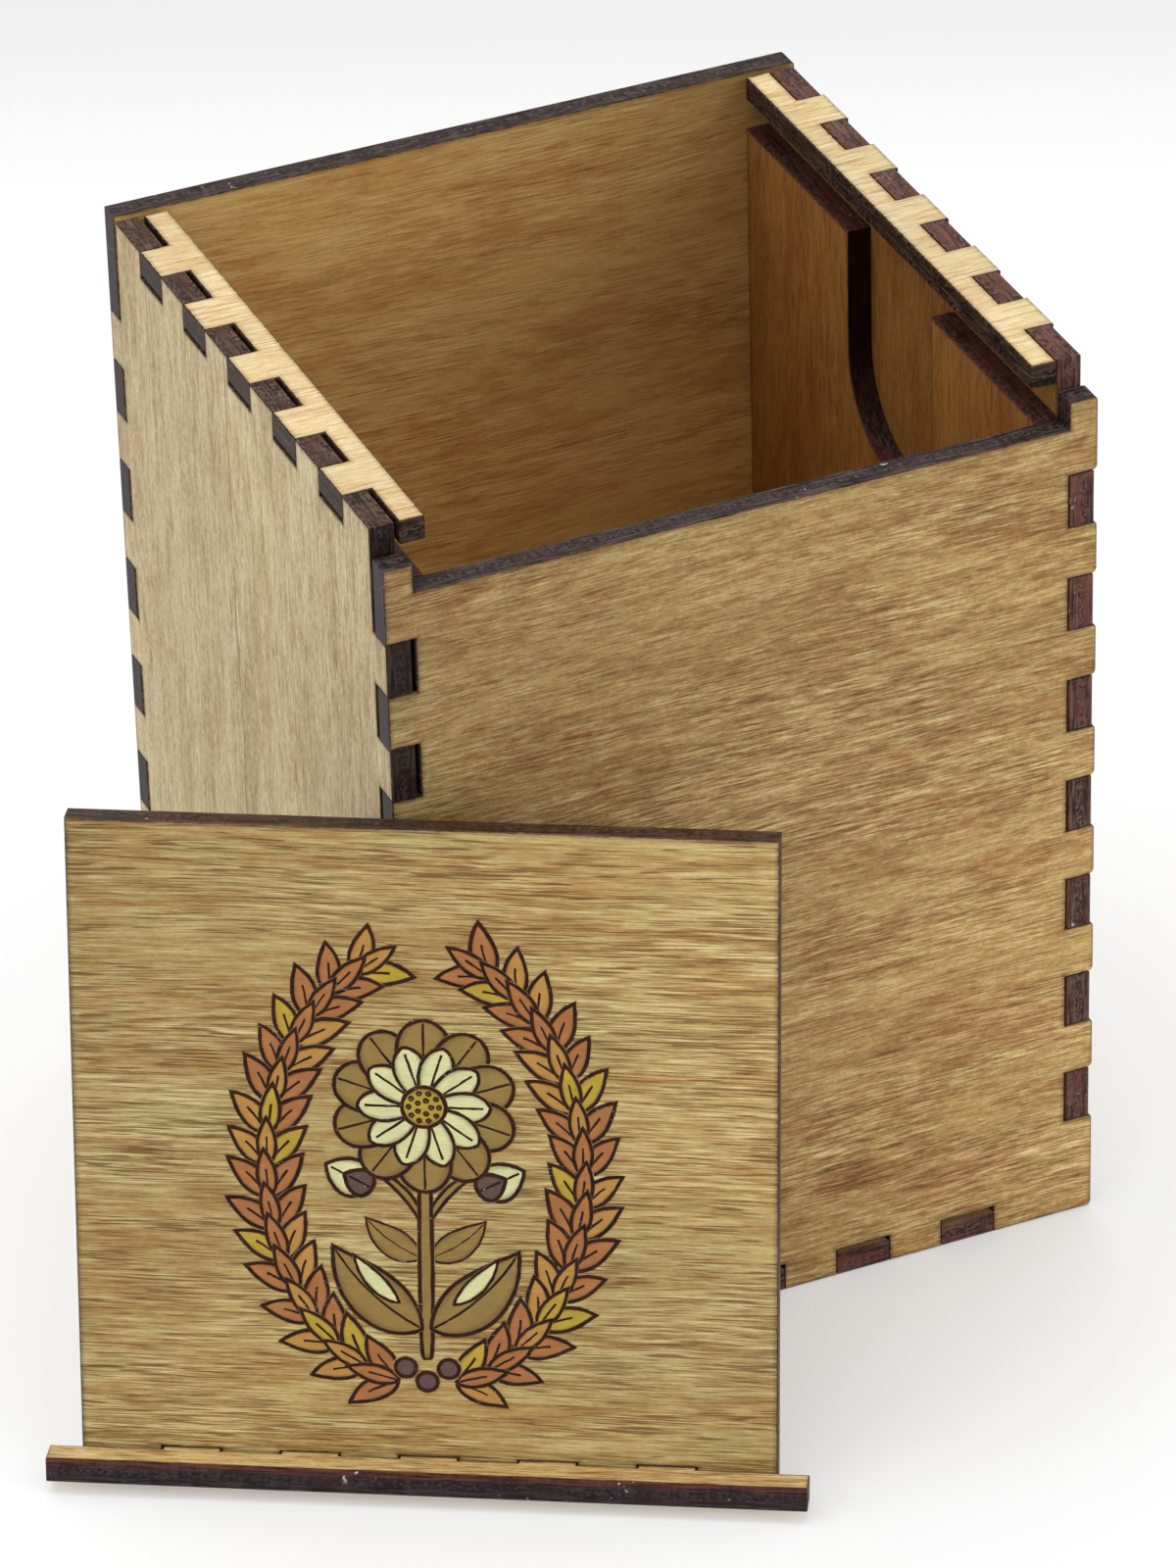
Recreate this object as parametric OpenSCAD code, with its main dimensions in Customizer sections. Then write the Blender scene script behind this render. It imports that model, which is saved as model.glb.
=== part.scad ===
// Small plywood box with a lid that slides in under two rails along the tops of its sides.
// The sheet is a little thinner than the joints were drawn for, which leaves a dark gap inside each corner.
// X runs along the front from left to right, Y from front to back, and Z up from the underside.

/* [Box] */
// Width of the box across its front
box_w = 78; // [66:0.2:120]
// Depth of the box from front to back
box_d = 75.2; // [62:0.2:120]
// Height of the box up to the tops of the rails
box_h = 102.8; // [84:0.2:160]
// How far the back wall stands above the rails
back_rise = 0.35; // [0:0.05:2]

/* [Sheet and joints] */
// Thickness of the plywood sheet
ply = 2.7; // [2:0.1:3.6]
// How much deeper the joints are cut than the sheet is thick
joint_slack = 0.5; // [0.3:0.05:0.8]
// Width of one finger, and of one gap between fingers
finger = 6.1; // [4.5:0.1:8]
// Clearance on each flank of a finger
fit_gap = 0.05; // [0:0.01:0.12]
// Gap that stays inside the right-hand corners, where the wall was pressed further in
right_gap = 0.15; // [0:0.05:0.3]

/* [Finger notches in the liners] */
// Width of the notch
notch_w = 20; // [12:0.5:28]
// Depth of the notch from the top of the liner to its round end
notch_depth = 24; // [14:0.5:50]
// Middle of the notch, counted back from the middle of the box
notch_y = -0.6; // [-6:0.1:6]

/* [Lid] */
// Clearance of the lid panel across the box, both sides together
lid_play = 0.2; // [0.1:0.05:1]
// Gap between the closed lid and the back wall
lid_end_gap = 0.1; // [0.05:0.05:1]
// Height of the lip's finger ends above the front wall when the lid is closed
slide_gap = 0.1; // [0.05:0.05:0.3]
// Height of the panel's underside above the lip's finger ends
panel_seat = 0.2; // [0:0.05:0.3]
// Gap between the lip and the bottoms of the notches in the panel's front edge
lip_gap = 0.15; // [0:0.05:0.3]

/* [Where the lid is] */
// The lid stands in front of the box or closes it
lid_state = "leaning"; // [leaning, closed]
// Turn of the standing lid about the vertical
turn = 29.3; // [20:0.1:40]
// Lean of the standing lid back towards the box
lean = 10.6; // [6:0.1:16]
// Where the box's corner meets the lid, counted left from the lid's middle
meet = 3.1; // [-10:0.1:20]
// Gap between the standing lid and the box's corner
lean_gap = 0.3; // [0.2:0.05:0.5]

/* [Hidden] */
$fn = 96;

// Depth of every joint, and the length of every finger
joint = ply + joint_slack;
// Level of the groove's floor, which is the top of the front wall and of the liners
groove_z = box_h - 2 * joint;
// Top of the two ears of the front wall, and bottom of the slots that take the rails' tabs
ear_z = box_h - joint;
// Clear length of the side walls between the shoulders at both ends
side_len = box_d - 2 * joint;
// Outer face of each side wall
left_x = -box_w / 2;
right_x = box_w / 2 - (joint_slack - right_gap);
// Width of a rail from the ends of its tabs to its inner edge: the joint and one more sheet
rail_w = joint + ply;
// Width of the lid panel, and of the joint line along its front edge
lid_edge = box_w - 2 * joint;
lid_w = lid_edge - lid_play;
// Length of the lid panel with its tabs
lid_len = box_d - ply - lid_end_gap;
// Overshoot of cuts past the faces that they open
over = 1;

plain_face = [0.66, 0.50, 0.31];
side_face = [0.70, 0.56, 0.38];
pale_face = [0.87, 0.74, 0.52];
liner_face = [0.60, 0.42, 0.22];
lid_face = [0.68, 0.53, 0.31];

// Equal steps along a jointed edge: an odd number, with at least one finger's width left at each end
function steps(len) = 2 * floor((floor(len / finger - 2) - 1) / 2) + 1;

// Places where the fingers of a jointed edge start, counted from the middle of the edge
function starts(len) = [for (i = [0 : 2 : steps(len) - 1]) (i - steps(len) / 2) * finger];

// Fingers or notches along the X axis, standing up from it, each drawn in by the clearance given
module teeth(len, depth, clear) {
    for (s = starts(len))
        translate([s + clear, 0]) square([finger - 2 * clear, depth]);
}

// Drawing of a front or back wall up to the height given, seen from the front
module end_wall_outline(top) {
    difference() {
        translate([-box_w / 2, 0]) square([box_w, top]);
        translate([0, -over]) teeth(box_w, joint + over, 0);
        for (side = [-1, 1])
            translate([side * (box_w / 2 - joint), box_h / 2]) rotate(-side * 90) mirror([side > 0 ? 0 : 1, 0])
                teeth(box_h, joint + over, 0);
    }
}

// Drawing of a side wall, with Y to the right: fingers at both ends, slots along the top and the bottom
module side_wall_outline() {
    difference() {
        translate([-side_len / 2, 0]) square([side_len, box_h]);
        translate([0, -over]) teeth(side_len, joint + over, 0);
        translate([0, ear_z]) teeth(side_len, joint + over, 0);
    }
    for (end = [-1, 1])
        translate([end * side_len / 2, box_h / 2]) rotate(-end * 90) mirror([end > 0 ? 0 : 1, 0])
            teeth(box_h, joint, fit_gap);
}

// Drawing of a liner, with Y to the right: a plate from the bottom panel to the groove, open at the notch
module liner_outline() {
    reach = box_d / 2 - ply - fit_gap;
    radius = notch_w / 2;
    difference() {
        translate([-reach, ply]) square([2 * reach, groove_z - ply]);
        translate([notch_y, groove_z - notch_depth + radius]) {
            circle(r = radius);
            translate([-radius, 0]) square([notch_w, notch_depth - radius + over]);
        }
    }
}

// Drawing of the left rail seen from above: a strip along the wall with tabs out to the wall's face
module rail_outline() {
    translate([-box_w / 2 + joint, -side_len / 2]) square([rail_w - joint, side_len]);
    translate([-box_w / 2 + joint, 0]) rotate(90) teeth(side_len, joint, fit_gap);
}

// Drawing of the bottom panel seen from above, with tabs into all four walls
module bottom_outline() {
    square([box_w - 2 * joint, side_len], center = true);
    for (end = [-1, 1]) {
        translate([0, end * side_len / 2]) mirror([0, end > 0 ? 0 : 1]) teeth(box_w, joint, fit_gap);
        translate([end * (box_w / 2 - joint), 0]) rotate(-end * 90) mirror([end > 0 ? 0 : 1, 0])
            teeth(side_len, joint, fit_gap);
    }
}

// Drawing of the lid panel seen from above, with the notches' bottoms on the X axis and the tabs below it
module panel_outline() {
    difference() {
        translate([-lid_w / 2, -joint]) square([lid_w, lid_len]);
        translate([0, -joint - over]) teeth(lid_edge, joint + over, 0);
    }
}

// Drawing of the lip seen from the front, with the ends of its fingers on the X axis
module lip_outline() {
    translate([-box_w / 2, joint]) square([box_w, joint - slide_gap]);
    teeth(lid_edge, joint, fit_gap);
}

// Stands a drawing up across the box, with its near face at the Y given
module across(y) {
    translate([0, y + ply, 0]) rotate([90, 0, 0]) linear_extrude(ply) children();
}

// Stands a drawing up along the box, with its left face at the X given
module along(x) {
    translate([x, 0, 0]) rotate([90, 0, 90]) linear_extrude(ply) children();
}

// Puts the lid, drawn lying face up with its notches' bottoms on the X axis, where it belongs
module place_lid() {
    tilt = 90 - lean;
    touch_z = min(lid_len * cos(lean), ear_z);
    back = touch_z * tan(lean) + lean_gap;
    if (lid_state == "closed")
        translate([0, -box_d / 2 + joint, groove_z + slide_gap]) children();
    else
        translate([-box_w / 2, -box_d / 2, 0]) rotate([0, 0, -turn]) translate([meet, -back, 0])
            rotate([tilt, 0, 0]) translate([0, joint, -panel_seat]) children();
}

module bottom_panel() {
    color(liner_face) linear_extrude(ply) bottom_outline();
}

module front_wall() {
    color(plain_face) across(-box_d / 2) difference() {
        end_wall_outline(ear_z);
        translate([-box_w / 2 + joint, groove_z]) square([box_w - 2 * joint, joint + over]);
    }
}

module back_wall() {
    color(plain_face) across(box_d / 2 - ply) end_wall_outline(box_h + back_rise);
}

module left_wall() {
    color(side_face) along(left_x) side_wall_outline();
}

module right_wall() {
    color(side_face) along(right_x - ply) side_wall_outline();
}

module left_rail() {
    color(pale_face) translate([0, 0, box_h - ply]) linear_extrude(ply) rail_outline();
}

module right_rail() {
    color(pale_face) mirror([1, 0, 0]) translate([0, 0, box_h - ply]) linear_extrude(ply) rail_outline();
}

module left_liner() {
    color(liner_face) along(left_x + ply) liner_outline();
}

module right_liner() {
    color(liner_face) along(right_x - 2 * ply) liner_outline();
}

module lid_panel() {
    color(lid_face) place_lid() translate([0, 0, panel_seat]) linear_extrude(ply) panel_outline();
}

module lid_lip() {
    color(lid_face) place_lid() across(-lip_gap - ply) lip_outline();
}

bottom_panel();
front_wall();
back_wall();
left_wall();
right_wall();
left_rail();
right_rail();
left_liner();
right_liner();
lid_panel();
lid_lip();
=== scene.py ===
"""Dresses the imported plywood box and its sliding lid, and sets up the floor, light and camera.

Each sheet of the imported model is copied, merged, given worn edges and a scorched rim, and finished in
stained veneer and charred cut edges. The lid also gets an engraved and painted wreath round a flower.
Lengths are in metres unless a name ends in _mm or a docstring says millimetres. Shaders work in millimetres
of each sheet's own drawing.
"""

import logging
import random
from dataclasses import dataclass, field, fields
from enum import Enum
from math import atan2, cos, degrees, dist, hypot, pi, radians, sin
from typing import ClassVar

import bpy
from mathutils import Matrix, Vector


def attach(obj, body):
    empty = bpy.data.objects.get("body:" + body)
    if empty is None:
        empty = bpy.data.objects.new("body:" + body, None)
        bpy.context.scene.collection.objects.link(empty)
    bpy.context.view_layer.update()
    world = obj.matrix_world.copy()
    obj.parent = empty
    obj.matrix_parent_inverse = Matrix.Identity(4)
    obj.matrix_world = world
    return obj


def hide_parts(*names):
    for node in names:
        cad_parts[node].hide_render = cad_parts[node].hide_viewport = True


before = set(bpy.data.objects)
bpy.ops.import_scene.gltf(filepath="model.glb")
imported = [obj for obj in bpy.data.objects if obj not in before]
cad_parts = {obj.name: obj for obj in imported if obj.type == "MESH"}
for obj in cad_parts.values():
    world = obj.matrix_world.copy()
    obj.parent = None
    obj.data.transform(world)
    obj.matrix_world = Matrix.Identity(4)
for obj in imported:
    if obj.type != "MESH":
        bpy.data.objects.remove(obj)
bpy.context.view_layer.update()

MM = 0.001
MERGE, SHAPE_MERGE = 0.002 * MM, 0.0005 * MM
BUMP_DEPTH = 0.1 * MM
FLAT_DEGREES, SMOOTH_DEGREES = 0.4, 10
# Place of a seam that lies outside every sheet, in millimetres
NO_SEAM = -1000.0
log = logging.getLogger("plywood_box")

Object, Mesh, Socket = bpy.types.Object, bpy.types.Mesh, bpy.types.NodeSocket
Pair = tuple[float, float]
Triple = tuple[float, float, float]


def linear(colour: str) -> tuple[float, float, float, float]:
    """Turns a colour as seen on a screen into the linear values that shaders take.

    Args:
        colour: six hexadecimal digits.

    Returns:
        Red, green, blue and an alpha of 1.
    """
    parts = [int(colour[i : i + 2], 16) / 255 for i in (0, 2, 4)]
    made = [c / 12.92 if c <= 0.04045 else ((c + 0.055) / 1.055) ** 2.4 for c in parts]
    return made[0], made[1], made[2], 1.0


def select_only(obj: Object) -> None:
    """Selects one object, makes it active and leaves all others unselected.

    Args:
        obj: the object that the next operators act on.
    """
    for other in bpy.context.selected_objects:
        other.select_set(False)
    obj.select_set(True)
    bpy.context.view_layer.objects.active = obj


def edit(obj: Object, mode: str = "FACE") -> None:
    """Opens one object in edit mode with nothing selected.

    Args:
        obj: the object to edit.
        mode: VERT, EDGE or FACE.
    """
    select_only(obj)
    bpy.ops.object.mode_set(mode="EDIT")
    bpy.ops.mesh.select_mode(type=mode)
    bpy.ops.mesh.select_all(action="DESELECT")


def leave_edit() -> None:
    """Goes back to object mode."""
    bpy.ops.object.mode_set(mode="OBJECT")


class Graph:
    """A node tree being filled, with short ways to add and join its nodes."""

    def __init__(self, tree: bpy.types.NodeTree) -> None:
        """Starts on an empty tree."""
        self.tree = tree

    @classmethod
    def of(cls, owner: bpy.types.Material | bpy.types.World) -> "Graph":
        """Clears the node tree of a material or a world and starts on it."""
        owner.use_nodes = True
        owner.node_tree.nodes.clear()
        return cls(owner.node_tree)

    def node(self, kind: str, inputs: dict | None = None, **settings: object) -> bpy.types.Node:
        """Adds one node, sets it and joins its inputs.

        Args:
            kind: the node's type without the ShaderNode prefix, or a NodeGroup type in full.
            inputs: values or sockets by the input's name or index.
            settings: the node's own properties.

        Returns:
            The new node.
        """
        made = self.tree.nodes.new(kind if kind.startswith("NodeGroup") else "ShaderNode" + kind)
        for name, value in settings.items():
            setattr(made, name, value)
        for key, value in (inputs or {}).items():
            if isinstance(value, Socket):
                self.tree.links.new(value, made.inputs[key])
            else:
                made.inputs[key].default_value = value
        return made

    def math(self, operation: str, a: object, b: object = 0.0, clamp: bool = False) -> Socket:
        """Adds a Math node and returns its value."""
        return self.node("Math", {0: a, 1: b}, operation=operation, use_clamp=clamp).outputs[0]

    def plus(self, a: object, b: object, clamp: bool = False) -> Socket:
        """Adds two values."""
        return self.math("ADD", a, b, clamp)

    def minus(self, a: object, b: object) -> Socket:
        """Takes the second value from the first."""
        return self.math("SUBTRACT", a, b)

    def times(self, a: object, b: object, clamp: bool = False) -> Socket:
        """Multiplies two values."""
        return self.math("MULTIPLY", a, b, clamp)

    def stretch(self, vector: Socket, factors: Triple) -> Socket:
        """Scales a vector along each of its axes."""
        return self.node("VectorMath", {0: vector, 1: factors}, operation="MULTIPLY").outputs[0]

    def noise(
        self, vector: Socket, factors: Triple, detail: float = 2.0, rough: float = 0.5, bend: float = 0.0
    ) -> Socket:
        """Adds a noise about 0.5, which changes the faster along an axis the larger its factor is."""
        inputs = {"Scale": 1.0, "Detail": detail, "Roughness": rough, "Distortion": bend}
        return self.node("TexNoise", {"Vector": self.stretch(vector, factors)} | inputs).outputs[0]

    def swing(
        self, vector: Socket, factors: Triple, weight: object, detail: float = 2.0, rough: float = 0.5
    ) -> Socket:
        """Adds a noise about zero, times a weight."""
        return self.times(self.minus(self.noise(vector, factors, detail, rough), 0.5), weight)

    def span(
        self, value: object, low: object, high: object, a: float = 0.0, b: float = 1.0, smooth: bool = True
    ) -> Socket:
        """Maps a value between low and high to one between a and b, held at both ends."""
        kind = "SMOOTHSTEP" if smooth else "LINEAR"
        inputs = {0: value, 1: low, 2: high, 3: a, 4: b}
        return self.node("MapRange", inputs, interpolation_type=kind).outputs[0]

    def blend(self, factor: object, a: object, b: object) -> Socket:
        """Mixes two values."""
        return self.node("Mix", {0: factor, 2: a, 3: b}, data_type="FLOAT").outputs[0]

    def mix(self, factor: object, a: object, b: object, blend: str = "MIX") -> Socket:
        """Mixes two colours."""
        return self.node("Mix", {0: factor, 6: a, 7: b}, data_type="RGBA", blend_type=blend).outputs[2]

    def grey(self, value: Socket) -> Socket:
        """Turns a value into a grey."""
        return self.node("CombineColor", {i: value for i in range(3)}).outputs[0]


class Effect:
    """A shader node group with named inputs and outputs, built once and placed in many materials."""

    def __init__(self, name: str, inputs: dict[str, object], outputs: dict[str, str]) -> None:
        """Makes the empty group.

        Args:
            name: the group's name.
            inputs: each input's default value by its name; the word Vector stands for a vector without one.
            outputs: each output's socket type by its name.
        """
        self.tree = bpy.data.node_groups.new(name, "ShaderNodeTree")
        for title, value in inputs.items():
            kind = "Float" if isinstance(value, float) else "Vector" if value == "Vector" else "Color"
            made = self.tree.interface.new_socket(name=title, in_out="INPUT", socket_type="NodeSocket" + kind)
            if kind == "Float":
                made.default_value = value
            elif kind == "Color":
                made.default_value = linear(str(value))
        for title, kind in outputs.items():
            self.tree.interface.new_socket(name=title, in_out="OUTPUT", socket_type="NodeSocket" + kind)
        self.graph = Graph(self.tree)
        self.given = self.graph.node("NodeGroupInput").outputs
        self.result = self.graph.node("NodeGroupOutput").inputs

    def give(self, **values: Socket) -> None:
        """Joins the group's outputs, each named with its first letter small."""
        for title, value in values.items():
            self.tree.links.new(value, self.result[title.capitalize()])

    def place(self, graph: Graph, inputs: dict[str, object]) -> bpy.types.Node:
        """Places the group in a material or another group and returns its node."""
        return graph.node("Group", inputs, node_tree=self.tree)


SURFACE = {"Color": "Color", "Roughness": "Float", "Height": "Float"}

# Colours that every finish of a kind shares; the near-black one is the painted shade of upright cut edges
SEAM, PALE_DUST, GREY_DUST = "2A1A10", "D9CDB4", "C9C4BE"
DEEP_CHAR, PAINTED_SHADE, PAINT_RIM = "120C0C", "0A0808", "5A3A1E"


class Effects:
    """All shared effects of the object's finishes.

    The three factors of each noise belong to the axes along the grain, across it and through the sheet.
    """

    def __init__(self) -> None:
        """Builds every group."""
        self.dust = self._dust()
        self.scorch = self._scorch()
        self.veneer = self._veneer()
        self.char = self._char()
        self.paint = self._paint()

    @staticmethod
    def _dust() -> Effect:
        """Tiny pale specks of dust, and a few short scratches, as a mask."""
        made = Effect("dust_specks", {"Sheet": "Vector", "Amount": 0.5}, {"Mask": "Float"})
        g, sheet = made.graph, made.given["Sheet"]
        cells = g.node("TexVoronoi", {"Vector": sheet, "Scale": 0.9, "Randomness": 1.0}, feature="F1")
        near = g.span(cells.outputs["Distance"], 0.03, 0.085, 1.0, 0.0)
        chosen = g.span(g.noise(sheet, (0.7, 0.7, 0.7), 1.0), 0.56, 0.62)
        scratch = g.span(g.noise(sheet, (0.9, 7.0, 1.0), 0.0, 0.5, 0.4), 0.74, 0.8)
        rare = g.span(g.noise(sheet, (0.11, 0.11, 0.11), 1.0), 0.62, 0.7)
        both = g.plus(g.times(near, chosen), g.times(scratch, rare), clamp=True)
        made.give(mask=g.times(both, made.given["Amount"]))
        return made

    @staticmethod
    def _scorch() -> Effect:
        """Brown scorch that fades away from a burnt edge, ragged along the grain."""
        inputs = {"Sheet": "Vector", "Edge": 0.0, "Color": "A08050", "Halo": 0.5}
        inputs |= {"Brown": "5A3C20", "Black": "1E1410"}
        made = Effect("scorched_rim", inputs, {"Color": "Color"})
        g, given = made.graph, made.given
        edge_mark = g.plus(given["Edge"], g.swing(given["Sheet"], (0.9, 2.4, 1.0), 0.5, 2.0, 0.6))
        tinted = g.mix(g.times(g.span(edge_mark, 0.25, 1.05), given["Halo"]), given["Color"], given["Brown"])
        made.give(color=g.mix(g.span(edge_mark, 0.9, 1.08), tinted, given["Black"]))
        return made

    def _veneer(self) -> Effect:
        """Stained veneer: grain streaks and pores, reddish patches, slow changes of tone, painted light and
        shade.
        """
        made = Effect("stained_veneer", {"Sheet": "Vector", "Edge": 0.0} | Veneer.own(), SURFACE)
        g, given = made.graph, made.given
        sheet = given["Sheet"]
        axes = g.node("SeparateXYZ", {0: sheet}).outputs
        along = g.times(axes[0], given["Reach"])
        across = g.plus(axes[1], g.swing(sheet, (0.02, 0.035, 0.3), g.times(given["Sway"], 4.0)))
        across = g.times(across, given["Dense"])
        bent = g.node("CombineXYZ", {0: along, 1: across, 2: axes[2]}).outputs[0]
        bold = g.span(g.noise(sheet, (0.03, 0.1, 0.4), 1.0), 0.35, 0.65, 0.6, 1.35)
        bold = g.times(g.times(bold, given["Fine"]), 0.9)
        # Layers from the broadest streaks to the finest grit, each with its factors, weight and detail
        layers = (
            ((0.05, 0.42, 1.0), given["Broad"], 2.0),
            ((0.12, 1.5, 1.0), 0.19, 1.0),
            ((0.17, 3.8, 1.0), bold, 1.0),
            ((0.34, 8.0, 1.0), bold, 1.0),
            ((1.1, 2.6, 1.0), given["Flecks"], 1.0),
            ((2.6, 6.0, 1.0), given["Flecks"], 1.0),
        )
        tone = 0.5
        for factors, weight, detail in layers:
            tone = g.plus(tone, g.swing(bent, factors, weight, detail, 0.55))
        dark = g.mix(g.span(tone, 0.12, 0.5, smooth=False), given["Brown"], given["Tan"])
        wood = g.mix(g.span(tone, 0.5, 0.88, smooth=False), dark, given["Pale"])
        dashes = g.plus(g.noise(bent, (0.3, 5.4, 1.7), 0.0), g.swing(bent, (0.09, 0.3, 0.5), 0.5, 1.0))
        pore = g.span(dashes, 0.62, 0.72)
        wood = g.mix(g.times(pore, given["Pores"], clamp=True), wood, given["Brown"])
        line = g.plus(axes[1], g.swing(sheet, (0.06, 0.0, 0.0), 2.6, 3.0, 0.6))
        seam = g.span(g.math("ABSOLUTE", g.minus(line, given["Seam"])), 0.04, 0.2, 0.8, 0.0)
        seam = g.times(seam, g.span(g.noise(sheet, (0.04, 0.04, 0.04), 1.0), 0.3, 0.45))
        wood = g.mix(seam, wood, g.mix(0.6, given["Brown"], linear(SEAM)))
        patch = g.times(g.noise(bent, (0.05, 0.2, 0.4), 2.0, 0.6, 0.3), 0.5)
        mottle = g.times(g.noise(bent, (0.22, 0.8, 0.7), 3.0, 0.65, 0.3), 0.5)
        patch = g.times(g.span(g.plus(patch, mottle), 0.44, 0.62), given["Patches"])
        wood = g.mix(patch, wood, given["Blush"], "MULTIPLY")
        slow = g.span(g.noise(sheet, (0.012, 0.028, 0.1), 1.0), 0.3, 0.7, 0.92, 1.07)
        # Painted light and shade: lean and rise brighten or darken the tone evenly along and across the sheet
        for axis, start, slope in ((0, "Middle", "Lean"), (1, "Level", "Rise")):
            slow = g.plus(slow, g.times(g.minus(axes[axis], given[start]), given[slope]))
        wood = g.mix(1.0, wood, g.grey(slow), "MULTIPLY")
        specks = self.dust.place(g, {"Sheet": sheet, "Amount": 0.4}).outputs[0]
        wood = g.mix(specks, wood, linear(PALE_DUST))
        rim = {"Sheet": sheet, "Edge": given["Edge"], "Color": wood, "Halo": given["Halo"]}
        rough = g.plus(g.span(tone, 0.3, 0.7, 0.58, 0.46), g.times(pore, 0.1))
        made.give(
            color=self.scorch.place(g, rim).outputs["Color"],
            roughness=rough,
            height=g.minus(tone, g.times(pore, 0.5)),
        )
        return made

    def _char(self) -> Effect:
        """Charred cut edge of three-ply: fibres along each layer, marks of the beam, ash, embers and painted
        shade.
        """
        made = Effect("charred_edge", {"Sheet": "Vector", "Painted_shade": 0.0} | Char.own(), SURFACE)
        g, given = made.graph, made.given
        sheet = given["Sheet"]
        through = g.node("SeparateXYZ", {0: sheet}).outputs[2]
        wavy = g.plus(g.math("ABSOLUTE", through), g.swing(sheet, (0.5, 0.5, 0.0), 0.2))
        faces = g.noise(sheet, (0.22, 1.8, 3.4), 3.0, 0.65)
        inner = g.noise(sheet, (1.8, 0.22, 3.4), 3.0, 0.65)
        fibres = g.blend(g.span(wavy, 0.38, 0.5, 1.0, 0.0), faces, inner)
        beam = g.noise(sheet, (1.5, 1.5, 0.25), 3.0, 0.65)
        marks = g.plus(g.times(fibres, 0.78), g.times(beam, 0.22))
        burnt = g.mix(g.span(marks, 0.44, 0.62), given["Char"], given["Ash"])
        warm = g.times(g.span(g.noise(sheet, (0.16, 0.16, 0.8)), 0.42, 0.62), given["Embers"])
        burnt = g.mix(warm, burnt, given["Ember"])
        level = g.blend(given["Side"], wavy, through)
        bleed = g.times(g.span(level, given["Spread"], 1.4), g.span(marks, 0.4, 0.6, 0.2, 0.8))
        burnt = g.mix(g.times(bleed, 0.7), burnt, given["Bleed"])
        deep = g.span(marks, 0.32, 0.46, 1.0, 0.0)
        burnt = g.mix(g.times(deep, 0.75), burnt, linear(DEEP_CHAR))
        small = g.stretch(sheet, (1.8, 1.8, 1.8))
        specks = self.dust.place(g, {"Sheet": small, "Amount": 0.8}).outputs[0]
        burnt = g.mix(specks, burnt, linear(GREY_DUST))
        # Painted shade: upright cut edges are darkened towards near-black
        burnt = g.mix(g.times(given["Painted_shade"], 0.85), burnt, linear(PAINTED_SHADE))
        made.give(color=burnt, roughness=g.span(marks, 0.35, 0.65, 0.36, 0.56), height=marks)
        return made

    def _paint(self) -> Effect:
        """Hand-brushed paint, thinner in the strokes' hollows, over the grain of the sheet."""
        inputs = {"Sheet": "Vector", "Edge": 0.0, "Wood": "A5895A"} | Paint.own()
        made = Effect("brushed_paint", inputs, SURFACE)
        g, given = made.graph, made.given
        sheet = given["Sheet"]
        strokes = g.noise(sheet, (1.1, 3.2, 1.0), 3.0, 0.6, 0.8)
        clouds = g.noise(sheet, (0.45, 0.45, 0.45))
        weave = g.noise(sheet, (0.5, 6.0, 1.0), 1.0)
        bare = g.times(g.span(strokes, 0.54, 0.74), given["Thin"])
        coat = g.mix(bare, given["Paint"], given["Wood"])
        shade = g.plus(g.span(clouds, 0.3, 0.7, 0.92, 1.06), g.span(strokes, 0.3, 0.7, -0.05, 0.04))
        shade = g.plus(shade, g.span(weave, 0.3, 0.7, -0.05, 0.05))
        coat = g.mix(1.0, coat, g.grey(shade), "MULTIPLY")
        near = g.plus(given["Edge"], g.times(g.minus(strokes, 0.5), 0.35))
        coat = g.mix(g.span(near, 0.62, 1.05, 0.0, 0.5), coat, linear(PAINT_RIM))
        made.give(color=coat, roughness=g.span(strokes, 0.3, 0.7, 0.5, 0.66), height=strokes)
        return made


@dataclass(frozen=True)
class Finish:
    """What every finish of a sheet has: a name, how strong its relief is and how much it shines.

    The fields that a finish adds are inputs of its effect, whose names begin with a capital.
    """

    name: str
    relief: float
    gloss: float
    # The effect, the input whose colour stands for the whole, and the input that takes a mesh attribute,
    # which is the scorch for a veneer and the painted shade for a charred edge
    kind: ClassVar[str]
    plain: ClassVar[str]
    edge_mark: ClassVar[tuple[str, str]] = ("Edge", "scorch")

    @classmethod
    def own(cls) -> dict[str, object]:
        """The default values of the fields that the finish adds, by the names of the effect's inputs."""
        return {f.name.capitalize(): f.default for f in fields(cls)[len(fields(Finish)):]}

    def values(self) -> dict[str, object]:
        """The values that it gives to the effect, with its colours made linear."""
        chosen = {title: getattr(self, title.lower()) for title in self.own()}
        return {title: linear(v) if isinstance(v, str) else v for title, v in chosen.items()}

    def material(self, effects: Effects) -> bpy.types.Material:
        """Makes the finish's material, or finds the one already made.

        Args:
            effects: the shared shader effects.

        Returns:
            The material.
        """
        if self.name in bpy.data.materials:
            return bpy.data.materials[self.name]
        made = bpy.data.materials.new(self.name)
        g = Graph.of(made)
        inputs = self.values()
        made.diffuse_color = inputs[self.plain]
        title, attribute = self.edge_mark
        inputs["Sheet"] = g.node("Attribute", attribute_name="sheet").outputs["Vector"]
        inputs[title] = g.node("Attribute", attribute_name=attribute).outputs["Fac"]
        group = getattr(effects, self.kind).place(g, inputs).outputs
        bump = g.node("Bump", {"Strength": self.relief, "Distance": BUMP_DEPTH, "Height": group["Height"]})
        surface = {
            "Base Color": group["Color"],
            "Roughness": group["Roughness"],
            "Specular IOR Level": self.gloss,
            "Normal": bump.outputs[0],
        }
        g.node("OutputMaterial", {"Surface": g.node("BsdfPrincipled", surface).outputs[0]})
        return made


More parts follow.
